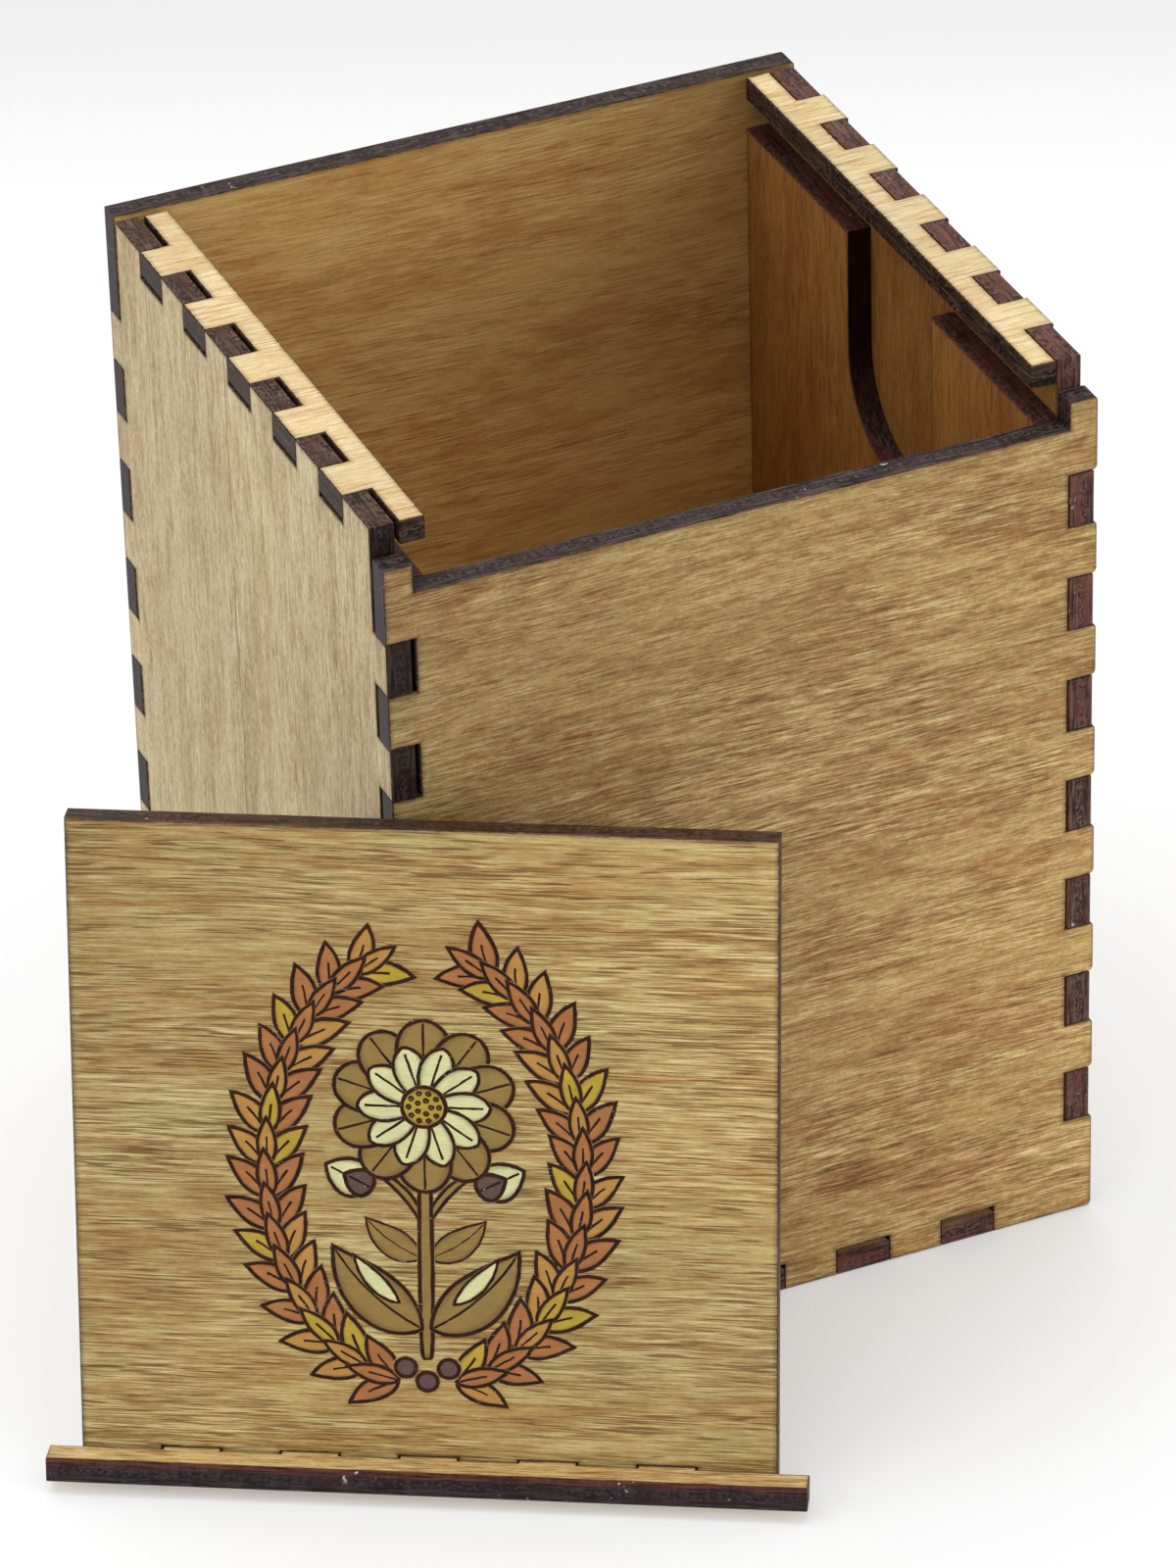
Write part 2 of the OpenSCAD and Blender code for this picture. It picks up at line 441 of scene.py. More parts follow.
@dataclass(frozen=True)
class Veneer(Finish):
    """Stained birch veneer.

    Pale, tan and brown are its light streaks, its ground and its dark streaks, and blush tints its patches.
    Broad, fine, flecks, pores and patches set how strongly each of these shows, sway how far the streaks
    wander, and halo how much the scorch browns the rim. The dark seam lies at one place across the grain,
    and reach and dense shorten the pattern along the grain and across it. Lean and rise are painted light
    and shade: the tone changes by lean for each millimetre along the grain from middle, and by rise for each
    millimetre across it from level.
    """

    kind = "veneer"
    plain = "Tan"
    pale: str = "C8B080"
    tan: str = "A5895A"
    brown: str = "765632"
    blush: str = "DAAE98"
    broad: float = 0.3
    fine: float = 1.0
    flecks: float = 0.3
    pores: float = 0.5
    sway: float = 1.0
    patches: float = 0.6
    halo: float = 0.5
    seam: float = NO_SEAM
    reach: float = 1.0
    dense: float = 1.0
    lean: float = 0.0
    middle: float = 0.0
    rise: float = 0.0
    level: float = 0.0


@dataclass(frozen=True)
class Char(Finish):
    """Charred cut edge, from nearly black to reddish brown, and darker where painted shade falls on its
    upright faces.

    Embers is the share of ember colour. The bleed colour starts at spread, in millimetres from the sheet's
    middle, towards both faces, or if side is 1 only towards the face that the axis through it points at.
    """

    kind = "char"
    plain = "Char"
    edge_mark = ("Painted_shade", "painted_shade")
    char: str = "2E2424"
    ash: str = "56545A"
    ember: str = "5C3526"
    embers: float = 0.4
    bleed: str = "6A5040"
    side: float = 0.0
    spread: float = 0.95


@dataclass(frozen=True)
class Paint(Finish):
    """Matt paint put on by hand; thin is how much wood shows through."""

    kind = "paint"
    plain = "Paint"
    paint: str = "8B6A3A"
    thin: float = 0.3


class Stain(Enum):
    """Finishes of the box and the lid; FRONT, BACK_INNER and LID also carry painted light and shade."""

    # Painted light and shade: the front wall grows darker towards its left end and its top
    FRONT = Veneer(
        "stained_front_and_painted_shade", 0.5, 0.25, "DEC890", "AE8F56", "6A4C2A", "D0A48C", broad=0.25, fine=0.78,
        sway=0.6, reach=1.25, lean=0.0045, middle=131.0, rise=-0.0025, level=67.0
    )
    BACK = Veneer(
        "stained_back", 0.5, 0.25, "D6BA84", "A88751", "6E4F2A", broad=0.25, fine=0.8, sway=0.6, pores=0.35
    )
    SIDE = Veneer(
        "stained_side", 0.5, 0.3, "DCCDA6", "BEA97F", "8E7452", "D8C4A4", broad=0.42, fine=0.62,
        flecks=0.55, pores=0.12, patches=0.5, seam=615.1
    )
    INNER = Veneer(
        "stained_inner", 0.4, 0.2, "DEC088", "C8A468", "946E40", fine=0.4, flecks=0.2, pores=0.2, patches=0.4
    )
    # Painted light: colours paler than INNER stand in for light falling into the box
    # Painted shade: the wall grows darker towards its right end and lighter towards its bottom
    BACK_INNER = Veneer(
        "stained_back_inner_and_painted_light", 0.4, 0.2, "F0D092", "D8B06A", "9A703E", fine=0.6, flecks=0.2, pores=0.2,
        patches=0.5, lean=-0.008, middle=412.0, rise=-0.005, level=325.0
    )
    LINER = Veneer(
        "stained_liner", 0.4, 0.2, "B08044", "906430", "66421E", broad=0.25, fine=0.45, patches=0.5
    )
    RAIL = Veneer(
        "pale_rail", 0.5, 0.25, "EBDDB4", "DCC694", "B8945C", broad=0.25, pores=0.3, patches=0.3, halo=0.35
    )
    # Painted light: the lid grows slightly lighter towards its right edge
    LID = Veneer(
        "stained_lid_and_painted_light", 0.5, 0.25, "DECF98", "B29B60", "70502A", "DCB08C", fine=0.9, flecks=0.2, pores=0.8,
        sway=0.35, reach=0.75, dense=1.15, lean=0.001, middle=903.0
    )
    LIP = Veneer(
        "stained_lip", 0.5, 0.25, "FAEBB6", "DABD7E", "947248", "DEB08C", fine=0.9, pores=0.8, sway=0.3,
        halo=0.3, reach=0.9
    )
    EDGE = Char("charred_edge", 0.6, 0.08, "241C1B", "544A48", "4A342A", 0.3)
    PANEL_EDGE = Char("panel_charred_edge", 0.6, 0.1, "30221A", "5C4A3C", "4E3426", 0.4)
    LIP_EDGE = Char("lip_charred_edge", 0.6, 0.15, "181214", "3C3436", "3A2420", 0.4, "7C4228", 1.0, 0.1)
    DEEP_EDGE = Char("deep_charred_edge", 0.6, 0.08, "2C201D", "6C564A", "54382C", 0.5, "785C44")
    RAIL_EDGE = Char("rail_charred_edge", 0.6, 0.05, "1C1513", "56463C", "402C24", 0.5, "5C483A")
    WARM_EDGE = Char("warm_charred_edge", 0.6, 0.1, "3A2624", "70544A", "6E4236", 0.6, "7C523E")
    LINER_EDGE = Char("liner_charred_edge", 0.6, 0.1, "2E1C1C", "563C36", "5C3028", 0.5, "70483A")
    LINE = Char("burnt_line", 0.4, 0.1, "24110A", "3A2216", "462414", 0.5, "2C160C")


class Tint(Enum):
    """Paints of the lid's picture, in the order of its material slots after the first two."""

    BROWN = Paint("paint_brown", 0.3, 0.25, "8E743C", 0.12)
    CREAM = Paint("paint_cream", 0.3, 0.25, "D2D09A", 0.25)
    RUSSET = Paint("paint_russet", 0.3, 0.25, "A4693A", 0.35)
    AMBER = Paint("paint_amber", 0.3, 0.25, "B0823F", 0.35)
    GOLD = Paint("paint_gold", 0.3, 0.25, "B09530", 0.3)
    UMBER = Paint("paint_umber", 0.3, 0.25, "5C4442", 0.12)


class Lay(Enum):
    """Which axes run along the grain, across it and through the sheet."""

    UPRIGHT_ACROSS = (0, 2, 1)
    UPRIGHT_ALONG = (2, 1, 0)
    FLAT = (0, 1, 2)


@dataclass(frozen=True)
class Basis:
    """A place and three directions that a sub-assembly is drawn in."""

    origin: Vector
    axes: Matrix

    def local(self, point: Vector) -> Vector:
        """Where a point is in this basis, in metres."""
        return self.axes.transposed() @ (point - self.origin)

    def matrix(self) -> Matrix:
        """The matrix from this basis to the object's frame."""
        return Matrix.Translation(self.origin) @ self.axes.to_4x4()


BOX_BASIS = Basis(Vector((0, 0, 0)), Matrix.Identity(3))


def write_values(mesh: Mesh, name: str, domain: str, values: list[float]) -> None:
    """Writes one value for each point or face of a mesh, as an attribute for the shaders."""
    mesh.attributes.new(name, "FLOAT", domain).data.foreach_set("value", values)


def write_coordinates(mesh: Mesh, basis: Basis, lay: Lay, middle: float, shift: Pair) -> None:
    """Writes where each vertex lies on its sheet's drawing, in millimetres, for the shaders.

    Args:
        mesh: the finished mesh.
        basis: the basis of the sub-assembly.
        lay: the axes along, across and through the sheet.
        middle: height of the sheet's middle on the axis through it.
        shift: how far the pattern is moved along and across, so that sheets differ.
    """
    made = mesh.attributes.new("sheet", "FLOAT_VECTOR", "POINT")
    along, across, through = lay.value
    for vertex in mesh.vertices:
        at = basis.local(vertex.co)
        made.data[vertex.index].vector = (
            at[along] / MM + shift[0],
            at[across] / MM + shift[1],
            (at[through] - middle) / MM,
        )


@dataclass
class Sheet:
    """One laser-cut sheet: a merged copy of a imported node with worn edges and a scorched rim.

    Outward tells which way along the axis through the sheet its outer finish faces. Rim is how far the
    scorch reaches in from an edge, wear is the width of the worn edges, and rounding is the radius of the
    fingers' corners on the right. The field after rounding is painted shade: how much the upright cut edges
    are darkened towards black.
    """

    node: str
    body: str
    slot: str
    lay: Lay
    outward: int
    outer: Stain
    inner: Stain
    shift: Pair
    edge: Stain = Stain.EDGE
    basis: Basis = BOX_BASIS
    rim: float = 0.9 * MM
    wear: float = 0.11 * MM
    rounding: float = 0.0
    painted_shade: float = 0.0
    obj: Object = field(init=False)

    @property
    def through(self) -> Vector:
        """The direction through the sheet."""
        return self.basis.axes.col[self.lay.value[2]].normalized()

    def build(self, effects: Effects) -> None:
        """Args:
            effects: the shared shader effects.
        """
        self.copy_node()
        self.scorch_rim()
        if self.rounding:
            self.round_corners()
        self.wear_edges()
        self.dress(effects)
        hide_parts(self.node)
        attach(self.obj, self.body)
        log.info("%s: %d faces", self.obj.name, len(self.obj.data.polygons))

    def is_face(self, normal: Vector, least: float = 0.999) -> bool:
        """Whether a normal belongs to one of the sheet's two broad faces."""
        return abs(normal.dot(self.through)) > least

    def copy_node(self) -> None:
        """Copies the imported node, merges its corners and joins its flat faces."""
        self.obj = bpy.data.objects.new(self.node + "_sheet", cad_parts[self.node].data.copy())
        self.obj.data.materials.clear()
        bpy.context.scene.collection.objects.link(self.obj)
        edit(self.obj)
        bpy.ops.mesh.select_all(action="SELECT")
        bpy.ops.mesh.customdata_custom_splitnormals_clear()
        bpy.ops.mesh.remove_doubles(threshold=MERGE)
        bpy.ops.mesh.dissolve_limited(angle_limit=radians(FLAT_DEGREES))
        leave_edit()

    def choose(self, mode: str, wanted: list[int]) -> None:
        """Opens the sheet in edit mode with the given edges or faces selected."""
        edit(self.obj, mode)
        leave_edit()
        items = self.obj.data.edges if mode == "EDGE" else self.obj.data.polygons
        for i in wanted:
            items[i].select = True
        bpy.ops.object.mode_set(mode="EDIT")

    def scorch_rim(self) -> None:
        """Insets both broad faces, which leaves a ring that the scorch fades over."""
        self.choose("FACE", [p.index for p in self.obj.data.polygons if self.is_face(p.normal)])
        bpy.ops.mesh.inset(thickness=self.rim, use_even_offset=True, use_boundary=True)
        leave_edit()

    def round_corners(self) -> None:
        """Rounds the corners of the fingers' ends on the right."""
        mesh = self.obj.data
        far = max(v.co.x for v in mesh.vertices) - 0.05 * MM
        wanted = []
        for e in mesh.edges:
            a, b = (mesh.vertices[i].co for i in e.vertices)
            if abs((a - b).normalized().dot(self.through)) > 0.99 and min(a.x, b.x) > far:
                wanted.append(e.index)
        self.choose("EDGE", wanted)
        bpy.ops.mesh.bevel(offset=self.rounding, segments=4, profile=0.5, affect="EDGES")
        leave_edit()

    def wear_edges(self) -> None:
        """Takes the sharpness off the edges between the broad faces and the cut."""
        mesh = self.obj.data
        meets: dict[tuple[int, int], list[bool]] = {}
        for p in mesh.polygons:
            for key in p.edge_keys:
                meets.setdefault(key, []).append(self.is_face(p.normal))
        wanted = [e.index for e in mesh.edges if len(set(meets[tuple(sorted(e.vertices))])) == 2]
        self.choose("EDGE", wanted)
        bpy.ops.mesh.bevel(offset=self.wear, segments=1, affect="EDGES")
        leave_edit()

    def dress(self, effects: Effects) -> None:
        """Gives the sheet its materials, its drawing's coordinates and its scorch."""
        mesh = self.obj.data
        for stain in (self.outer, self.edge, self.inner):
            mesh.materials.append(stain.value.material(effects))
        burnt = [False] * len(mesh.vertices)
        for p in mesh.polygons:
            facing = p.normal.dot(self.through) * self.outward
            p.material_index = 1 if not self.is_face(p.normal, 0.99) else 0 if facing > 0 else 2
            if p.material_index == 1:
                for i in p.vertices:
                    burnt[i] = True
        write_values(mesh, "scorch", "POINT", [float(b) for b in burnt])
        # Painted shade: the more upright a face, the darker its cut edge is drawn
        write_values(mesh, "painted_shade", "FACE", [self.painted_shade * (1 - abs(p.normal.z)) ** 0.5 for p in mesh.polygons])
        depths = [self.basis.local(v.co)[self.lay.value[2]] for v in mesh.vertices]
        write_coordinates(mesh, self.basis, self.lay, (min(depths) + max(depths)) / 2, self.shift)
        select_only(self.obj)
        bpy.ops.object.shade_smooth_by_angle(angle=radians(SMOOTH_DEGREES))


@dataclass
class Shell:
    """The four walls, the bottom and the liners of the box."""

    rounding: float = 0.55 * MM

    def build(self, effects: Effects) -> None:
        """Builds and dresses each sheet.

        Args:
            effects: the shared shader effects.
        """
        front, side, inner, liner = Stain.FRONT, Stain.SIDE, Stain.INNER, Stain.LINER
        back, behind = Stain.BACK, Stain.BACK_INNER
        across, along = Lay.UPRIGHT_ACROSS, Lay.UPRIGHT_ALONG
        # Painted shade on upright cut edges: some on front and back walls, more on the left wall, most on
        # liners
        rounded = {"rounding": self.rounding, "painted_shade": 0.3}
        deep = {"edge": Stain.DEEP_EDGE, "painted_shade": 0.8}
        black = {"edge": Stain.LINER_EDGE, "painted_shade": 1.0}
        warm = {"edge": Stain.WARM_EDGE}
        sheets = [
            Sheet("front_wall", "box", "wall_ply", across, -1, front, inner, (131.0, 17.0), **rounded),
            Sheet("back_wall", "box", "wall_ply", across, 1, back, behind, (412.0, 253.0), **rounded),
            Sheet("left_wall", "box", "side_ply", along, -1, side, liner, (37.0, 611.0), **deep),
            Sheet("right_wall", "box", "side_ply", along, 1, side, liner, (823.0, 97.0), **warm),
            Sheet("left_liner", "box", "inner_ply", along, -1, inner, liner, (519.0, 43.0), **black),
            Sheet("right_liner", "box", "inner_ply", along, 1, inner, liner, (241.0, 731.0), **black),
            Sheet("bottom_panel", "box", "inner_ply", Lay.FLAT, -1, inner, inner, (67.0, 379.0), **warm),
        ]
        for sheet in sheets:
            sheet.build(effects)


@dataclass
class Rails:
    """The two strips along the tops of the side walls that hold the lid down."""

    def build(self, effects: Effects) -> None:
        """Builds and dresses both rails.

        Args:
            effects: the shared shader effects.
        """
        pale, inner, edge = Stain.RAIL, Stain.INNER, Stain.RAIL_EDGE
        for name, shift in (("left_rail", (311.0, 29.0)), ("right_rail", (709.0, 167.0))):
            Sheet(name, "box", "rail_ply", Lay.FLAT, 1, pale, inner, shift, edge).build(effects)


@dataclass
class Shape:
    """A closed shape of the lid's picture: a scorched halo, a burnt line and a painted middle.

    It starts at the origin and reaches along X. Its lengths are in millimetres. Root and tip are exponents:
    an end is round where its own is about a half, and pointed where it is about one. The bend is in degrees
    over the whole length, and the vein is drawn between two shares of it. The line and the halo are as wide
    as their values say, and the three levels are those of the halo, the line and the paint.
    """

    name: str
    length: float
    width: float
    root: float = 0.8
    tip: float = 1.0
    bend: float = 0.0
    vein: Pair = (0.0, 0.0)
    columns: int = 18
    line: float = 0.4
    halo: float = 0.22
    rows: int = 7
    groove: float = 0.26
    levels: Triple = (0.002, 0.012, 0.016)

    def half(self, share: float) -> float:
        """Half of the shape's width at a share of its length."""
        peak = self.root / (self.root + self.tip)
        return self.width / 2 * (share / peak) ** self.root * ((1 - share) / (1 - peak)) ** self.tip

    def ring(self, inset: float, count: int) -> list[Pair]:
        """Points along one side of the shape's line, moved inwards by an inset.

        Args:
            inset: how far the points lie inside the line, or outside it if negative.
            count: number of steps between the two ends.

        Returns:
            Places along the shape, each with the half width there, from root to tip.
        """
        steps, nudge = 200, 1e-4
        spots = []
        for i in range(steps + 1):
            share = min(max((1 - cos(pi * i / steps)) / 2, nudge), 1 - nudge)
            slope = (self.half(share + nudge) - self.half(share - nudge)) / (2 * nudge * self.length)
            size = hypot(1, slope)
            spots.append((share * self.length + inset * slope / size, self.half(share) - inset / size))
        if inset > 0:
            kept = [i for i, spot in enumerate(spots) if spot[1] > 0]
            first, last = kept[0], kept[-1]
            spots = [(spots[first][0], 0.0), *spots[first:last + 1], (spots[last][0], 0.0)]
        else:
            spots = [(inset, 0.0), *spots, (self.length - inset, 0.0)]
        along = [0.0]
        for a, b in zip(spots, spots[1:]):
            along.append(along[-1] + dist(a, b))
        made, spot = [], 0
        for i in range(count + 1):
            want = along[-1] * (1 - cos(pi * i / count)) / 2
            while spot < len(spots) - 2 and along[spot + 1] < want:
                spot += 1
            share = (want - along[spot]) / max(along[spot + 1] - along[spot], 1e-9)
            a, b = spots[spot], spots[spot + 1]
            made.append((a[0] + (b[0] - a[0]) * share, max(a[1] + (b[1] - a[1]) * share, 0.0)))
        return made

    def bent(self, x: float, y: float) -> Pair:
        """Where a point comes to lie once the shape's middle line is bent into an arc."""
        if not self.bend:
            return x, y
        curve = radians(self.bend) / self.length
        rise, reach = sin(curve * x), cos(curve * x)
        return rise / curve - y * rise, (1 - reach) / curve + y * reach

    def build(self, finishes: list[bpy.types.Material]) -> Mesh:
        """Models the shape flat on the lid's face, from a grid whose outer rings become halo and line.

        Args:
            finishes: the materials of the halo and the line, and then the paints.

        Returns:
            Its mesh, with slot 0 on the halo, 1 on the line and 2 on the paint.
        """
        bpy.ops.object.select_all(action="DESELECT")
        bpy.ops.mesh.primitive_grid_add(x_subdivisions=self.columns, y_subdivisions=self.rows, size=MM)
        obj = bpy.context.object
        mesh = obj.data
        for finish in finishes:
            mesh.materials.append(finish)
        wide = self.columns + 1
        insets = (-self.halo, 0.0, self.line)
        rings = [self.ring(inset, self.columns - 2 * i) for i, inset in enumerate(insets)]
        depth = []
        for vertex in mesh.vertices:
            i, j = vertex.index % wide, vertex.index // wide
            depth.append(min(i, self.columns - i, j, self.rows - j))
            level = min(depth[-1], 2)
            x, half = rings[level][i - level]
            half = min(self.groove / 2, half * 0.5) if depth[-1] > 2 else half
            x, y = self.bent(x, half if 2 * j > self.rows else -half)
            vertex.co = (x * MM, y * MM, self.levels[level] * MM)
        for p in mesh.polygons:
            p.material_index = min(min(depth[i] for i in p.vertices), 2)
            columns = [i % wide for i in p.vertices]
            share = sum(columns) / 4 / self.columns
            if min(depth[i] for i in p.vertices) > 2 and self.vein[0] < share < self.vein[1]:
                p.material_index = 1
        write_values(mesh, "scorch", "POINT", [float(0 < d < 3) for d in depth])
        edit(obj)
        bpy.ops.mesh.select_all(action="SELECT")
        bpy.ops.mesh.remove_doubles(threshold=SHAPE_MERGE)
        leave_edit()
        mesh.name = self.name
        bpy.data.objects.remove(obj)
        return mesh


@dataclass
class Picture:
    """The engraved and painted picture on the lid: a garland of small leaves round a flower on its stem."""

    basis: Basis
    shift: Pair
    middle: float
    half_width_mm: float = 16.0
    half_height_mm: float = 23.8
    step_mm: float = 3.5
    depth: float = 0.25 * MM
    shake: float = 0.035 * MM
    seed: int = 11

    def build(self, effects: Effects) -> None:
        """Builds, places and dresses every part of the picture.

        Args:
            effects: the shared shader effects.
        """
        self.finishes = [finish.value.material(effects) for finish in [Stain.LID, Stain.LINE, *Tint]]
        self.random = random.Random(self.seed)
        self.parts: list[Mesh] = []
        self.garland()
        self.finish("lid_garland")
        self.stem()
        self.finish("lid_stem")
        self.flower()
        self.finish("lid_flower")

    def place(
        self,
        mesh: Mesh,
        at: Pair,
        turn: float,
        tint: Tint,
        level: float = 0.0,
        size: float = 1.0,
        tilt: float = 0.0,
        twist: float = 0.0,
    ) -> None:
        """Puts a copy of a shape on the lid.

        Args:
            mesh: the shape.
            at: its place in millimetres from the picture's middle.
            turn: its turn in degrees.
            tint: its paint.
            level: how high it lies above the wood, in millimetres.
            size: its scale.
            tilt: how much it rises along its length, so that it covers the root of the next one.
            twist: how much it rises across, so that a ring of petals overlaps evenly.
        """
        copy = mesh.copy()
        rise = Matrix(((1, 0, 0, 0), (0, 1, 0, 0), (tilt, twist, 1, level * MM), (0, 0, 0, 1)))
        turned = Matrix.Rotation(radians(turn), 4, "Z") @ Matrix.Scale(size, 4)
        copy.transform(Matrix.Translation((at[0] * MM, at[1] * MM, 0)) @ turned @ rise)
        for vertex, flat in zip(copy.vertices, mesh.vertices):
            if flat.co.z < 0.005 * MM:
                vertex.co.z = 0.002 * MM
            vertex.co.x += self.random.uniform(-self.shake, self.shake)
            vertex.co.y += self.random.uniform(-self.shake, self.shake)
        paints = list(Tint)
        for p in copy.polygons:
            if p.material_index == 2:
                p.material_index = 2 + paints.index(tint)
        self.parts.append(copy)

    def shape(self, *sizes: object, **more: object) -> Mesh:
        """Models one shape in the picture's finishes."""
        return Shape(*sizes, **more).build(self.finishes)

    def on_oval(self, angle: float, side: int) -> Triple:
        """Place and heading in degrees on the garland's middle line, going up one side."""
        x = side * self.half_width_mm * cos(angle)
        y = self.half_height_mm * sin(angle)
        dx = -side * self.half_width_mm * sin(angle)
        dy = self.half_height_mm * cos(angle)
        return x, y, degrees(atan2(dy, dx))

    def garland(self) -> None:
        """Two sprigs of overlapping leaves that rise from the bottom and nearly meet at the top."""
        kind = {"vein": (0.1, 0.58), "columns": 16, "halo": 0.07}
        turned = [self.shape("leaf", 6.4, 2.9, 0.7, 1.0, way * 22, **kind) for way in (-1, 1)]
        middle = self.shape("middle_leaf", 6.4, 2.5, 0.7, 1.0, **kind)
        tints = [Tint.RUSSET, Tint.AMBER, Tint.RUSSET, Tint.GOLD, Tint.RUSSET, Tint.AMBER, Tint.RUSSET]
        for side in (-1, 1):
            angle, number = radians(-80), 0
            while angle < radians(74):
                x, y, heading = self.on_oval(angle, side)
                for way in (-1, 1):
                    size = self.random.uniform(0.93, 1.05)
                    spread = 30 + self.random.uniform(-4, 4)
                    tint = tints[(number * 3 + (way > 0) * 2 + (side > 0)) % len(tints)]
                    level = 0.012 if way > 0 else 0.0
                    self.place(turned[way > 0], (x, y), heading + way * spread, tint, level, size, 0.014)
                tint = tints[(number * 5 + 2 * (side > 0)) % len(tints)]
                self.place(middle, (x, y), heading, tint, 0.03, self.random.uniform(0.86, 0.95), 0.014)
                number += 1
                wide, high = self.half_width_mm * sin(angle), self.half_height_mm * cos(angle)
                angle += self.step_mm / hypot(wide, high)

    def flower(self) -> None:
        """A round flower: brown petals, cream petals over them, and a golden middle with a ring of seeds."""
        x, y = 0.0, 7.2
        outer = self.shape("outer_petal", 9.6, 5.8, 0.9, 0.5, 0.0, (0.42, 0.8), 24, halo=0.07)
        inner = self.shape("inner_petal", 6.9, 3.7, 0.9, 0.6, 0.0, (0.35, 0.7), 20, 0.36, 0.07)
        middle = self.shape("middle", 4.8, 4.8, 0.5, 0.5, columns=24)
        seed = self.shape("seed", 0.62, 0.62, 0.5, 0.5, columns=12, line=0.16, halo=0.05)
        for i in range(10):
            self.place(outer, (x, y), i * 36 + 18, Tint.BROWN, 0.12, twist=0.02)
        for i in range(10):
            self.place(inner, (x, y), i * 36, Tint.CREAM, 0.2, twist=0.02)
        self.place(middle, (x - 2.4, y), 0, Tint.GOLD, 0.26)
        for count, radius in ((10, 1.55), (5, 0.75)):
            for i in range(count):
                away = 2 * pi * i / count
                spot = (x + radius * cos(away), y + radius * sin(away))
                self.place(seed, (spot[0] - 0.31, spot[1]), 0, Tint.UMBER, 0.28)

    def stem(self) -> None:
        """The flower's stem with bent leaves in two tones, a pair of buds and three berries at its foot."""
        stalk = self.shape("stalk", 26.0, 1.7, 0.12, 0.2, columns=40)
        berry = self.shape("berry", 2.5, 2.5, 0.5, 0.5, columns=16)
        calyx = self.shape("calyx", 3.6, 3.4, 0.5, 0.9, 0.0, (0.3, 0.7), columns=18)
        bud = self.shape("bud", 5.2, 4.6, 0.5, 0.8, 0.0, (0.4, 0.75), columns=20)
        self.place(stalk, (0, -21.0), 90, Tint.BROWN, 0.06)
        for side in (-1, 1):
            bend = side * 34
            leaf = self.shape("broad_leaf", 13.4, 6.0, 0.75, 1.05, bend, (0.08, 0.9), 26)
            light = self.shape("leaf_light", 7.4, 2.1, 0.8, 1.0, bend * 0.62, columns=20, line=0.3)
            twig = self.shape("twig", 7.2, 1.15, 0.3, 0.3, -side * 40, columns=24, line=0.34)
            turn = 90 - side * 62
            self.place(leaf, (side * 0.3, -17.6), turn, Tint.BROWN, 0.08)
            ahead, aside = radians(turn), radians(turn + side * 90)
            x = side * 0.3 + 3.4 * cos(ahead) + 1.4 * cos(aside)
            y = -17.6 + 3.4 * sin(ahead) + 1.4 * sin(aside)
            self.place(light, (x, y), turn + bend * 0.3, Tint.CREAM, 0.1)
            self.place(leaf, (side * 0.3, -9.6), 90 - side * 70, Tint.BROWN, 0.08, 0.56)
            self.place(twig, (side * 0.3, -5.6), 90 - side * 20, Tint.BROWN, 0.05)
            self.place(bud, (side * 5.6, -1.9), 90 - side * 62, Tint.CREAM, 0.08)
            self.place(calyx, (side * 5.2, -2.1), 90 - side * 62, Tint.UMBER, 0.1)
        for x, y in ((-2.2, -21.9), (2.2, -21.9), (0.0, -23.4)):
            self.place(berry, (x - 1.25, y), 0, Tint.UMBER, 0.14)

    def finish(self, name: str) -> None:
        """Joins the placed shapes into one piece, gives it a body below the lid's face and dresses it.

        Args:
            name: the piece's name.
        """
        objects = [bpy.data.objects.new(f"{name}_{i}", mesh) for i, mesh in enumerate(self.parts)]
        self.parts = []
        bpy.ops.object.select_all(action="DESELECT")
        for obj in objects:
            bpy.context.scene.collection.objects.link(obj)
            obj.select_set(True)
        obj = objects[0]
        bpy.context.view_layer.objects.active = obj
        bpy.ops.object.join()
        solid = obj.modifiers.new("solid", "SOLIDIFY")
        solid.thickness, solid.offset = self.depth, -1.0
        bpy.ops.object.modifier_apply(modifier="solid")
        obj.name = name
        obj.data.name = name
        obj.data.transform(self.basis.matrix())
        write_coordinates(obj.data, self.basis, Lay.FLAT, self.middle, self.shift)
        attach(obj, "lid")
        log.info("%s: %d faces", obj.name, len(obj.data.polygons))


@dataclass
class SlidingLid:
    """The lid's panel, its lip and its picture, in the lid's own basis."""

    drop: float = 37.2 * MM
    shift: Pair = (903.0, 457.0)
    lip_shift: Pair = (903.0, 541.0)
    lip_rim: float = 0.5 * MM
    ply: float = 2.7 * MM

    def find_basis(self) -> Basis:
        """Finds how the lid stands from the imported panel.

        Returns:
            A basis with X to the right, Y up the lid, Z out of its outer face, and the picture's middle as
            its origin, which lies the drop below the panel's top.
        """
        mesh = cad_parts["lid_panel"].data
        out = max(mesh.polygons, key=lambda p: p.area).normal.copy()
        out = -out if out.z < 0 else out
        right = Vector((0, 0, 1)).cross(out).normalized()
        up = out.cross(right)
        axes = Matrix((right, up, out)).transposed()
        spots = [axes.transposed() @ v.co for v in mesh.vertices]
        low, high = (Vector(f(s[i] for s in spots) for i in range(3)) for f in (min, max))
        origin = axes @ Vector(((low.x + high.x) / 2, high.y - self.drop, high.z))
        return Basis(origin, axes)

    def build(self, effects: Effects) -> None:
        """Builds and dresses the lid.

        Args:
            effects: the shared shader effects.
        """
        basis, flat, across = self.find_basis(), Lay.FLAT, Lay.UPRIGHT_ACROSS
        wood, edge = Stain.LID, Stain.PANEL_EDGE
        Sheet("lid_panel", "lid", "lid_ply", flat, 1, wood, wood, self.shift, edge, basis).build(effects)
        wood, edge = Stain.LIP, Stain.LIP_EDGE
        lip = Sheet("lid_lip", "lid", "lid_ply", across, 1, wood, wood, self.lip_shift, edge, basis)
        lip.rim = self.lip_rim
        lip.build(effects)
        Picture(basis, self.shift, -self.ply / 2).build(effects)


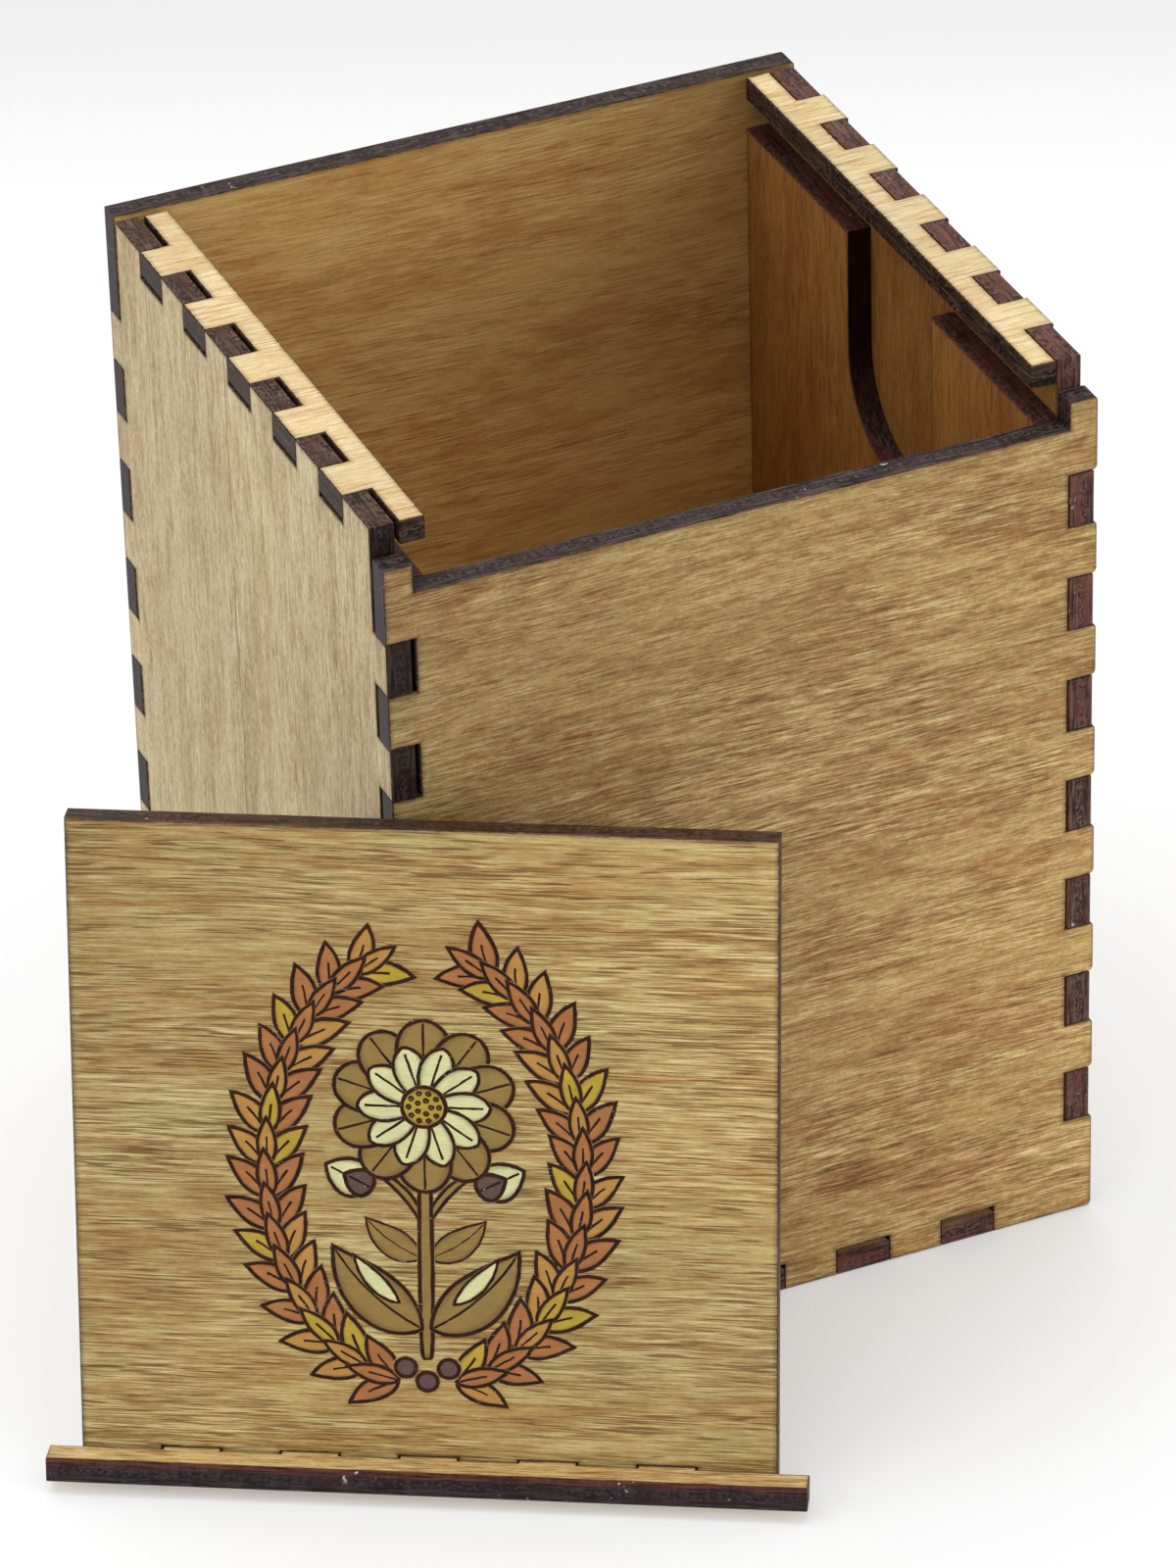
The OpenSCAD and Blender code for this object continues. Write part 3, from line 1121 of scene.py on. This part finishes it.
@dataclass
class Studio:
    """Floor, light and the camera of the photograph."""

    camera_at: Triple = (-0.30273, -0.71237, 0.53779)
    heading: float = radians(22.888)
    tilt: float = radians(32.614)
    roll: float = radians(-1.592)
    lens_mm: float = 199.04
    sensor_mm: float = 36.0
    floor_size: float = 8.0
    floor_drop: float = 0.05 * MM
    floor_glow: float = 0.28
    backwards: Triple = (0.389, 0.921, 0.0)
    shade_grey: tuple[float, ...] = (0.94, 0.94, 0.94, 1.0)
    shade_blue: tuple[float, ...] = (0.925, 0.94, 0.957, 1.0)
    sky: float = 0.66
    sky_seen: float = 0.9

    def build(self) -> None:
        """Sets up everything round the object."""
        self.floor()
        self.world()
        self.lamps()
        self.camera()

    def floor(self) -> None:
        """A pale floor that keeps the shadow, a little bluer near it, with painted shade behind it and paler
        beyond.
        """
        bpy.ops.object.select_all(action="DESELECT")
        bpy.ops.mesh.primitive_plane_add(size=self.floor_size, location=(0, 0, -self.floor_drop))
        obj = bpy.context.object
        obj.name = "floor"
        bpy.ops.object.transform_apply(location=True, rotation=True, scale=True)
        made = bpy.data.materials.new("pale_floor")
        g = Graph.of(made)
        path = g.node("LightPath").outputs
        seen = g.math("MAXIMUM", path["Is Camera Ray"], path["Is Glossy Ray"])
        seen = g.math("MAXIMUM", seen, path["Is Transmission Ray"])
        place = g.node("TexCoord").outputs["Object"]
        away = g.node("VectorMath", {0: place, 1: self.backwards}, operation="DOT_PRODUCT").outputs["Value"]
        # Painted shade: darker from a little behind the object, and paler again further off
        grey = g.grey(g.plus(g.span(away, 0.16, 0.3, 1.0, 0.77), g.span(away, 0.3, 0.6, 0.0, 0.18)))
        reach = g.node("VectorMath", {0: place}, operation="LENGTH").outputs["Value"]
        # A cool tint painted near the object offsets the warm light that the box throws on the floor
        cool = g.mix(g.span(reach, 0.08, 0.2, 1.0, 0.0), self.shade_grey, self.shade_blue)
        matt = g.node("BsdfDiffuse", {"Color": g.mix(1.0, grey, cool, "MULTIPLY")})
        glow = g.node("Emission", {"Color": grey, "Strength": 1.0})
        share = g.times(seen, self.floor_glow)
        both = g.node("MixShader", {0: share, 1: matt.outputs[0], 2: glow.outputs[0]})
        g.node("OutputMaterial", {"Surface": both.outputs[0]})
        obj.data.materials.append(made)

    def world(self) -> None:
        """An even pale sky, brighter where the camera sees it."""
        world = bpy.data.worlds.new("sky")
        bpy.context.scene.world = world
        g = Graph.of(world)
        path = g.node("LightPath").outputs
        seen = g.math("MAXIMUM", path["Is Camera Ray"], path["Is Transmission Ray"])
        strength = g.blend(seen, self.sky, self.sky_seen)
        sky = g.node("Background", {"Color": (1, 1, 1, 1), "Strength": strength})
        g.node("OutputWorld", {"Surface": sky.outputs[0]})

    def lamps(self) -> None:
        """A broad soft light overhead and two weaker ones, from the front right and the left."""
        for name, at, size, power in (
            ("overhead", (-0.05, 0.2, 1.1), 1.1, 6.5),
            ("window", (0.8, -0.9, 0.6), 0.9, 3.5),
            ("doorway", (-1.1, -0.2, 0.5), 0.9, 3.2),
        ):
            bpy.ops.object.light_add(type="AREA", location=at)
            lamp = bpy.context.object
            lamp.name = name
            lamp.data.shape, lamp.data.size, lamp.data.energy = "SQUARE", size, power
            lamp.rotation_euler = (Vector((0, 0, 0.05)) - Vector(at)).to_track_quat("-Z", "Y").to_euler()

    def camera(self) -> None:
        """The camera as measured from the photograph."""
        forward = Vector((sin(self.heading), cos(self.heading), 0))
        ahead = forward * cos(self.tilt) - Vector((0, 0, sin(self.tilt)))
        level = Vector((cos(self.heading), -sin(self.heading), 0))
        upright = level.cross(ahead)
        right = level * cos(self.roll) + upright * sin(self.roll)
        up = right.cross(ahead)
        data = bpy.data.cameras.new("camera")
        data.lens, data.sensor_width, data.sensor_fit = self.lens_mm, self.sensor_mm, "AUTO"
        data.clip_start, data.clip_end = 0.05, 20.0
        camera = bpy.data.objects.new("camera", data)
        bpy.context.scene.collection.objects.link(camera)
        turned = Matrix((right, up, -ahead)).transposed().to_4x4()
        camera.matrix_world = Matrix.Translation(self.camera_at) @ turned
        bpy.context.scene.camera = camera
        bpy.context.scene.view_settings.view_transform = "Standard"


def main() -> None:
    """Builds the object's pieces and what stands round them, in order."""
    logging.basicConfig(level=logging.INFO, format="%(name)s: %(message)s")
    effects = Effects()
    Studio().build()
    Shell().build(effects)
    Rails().build(effects)
    SlidingLid().build(effects)


if __name__ == "__main__":
    main()
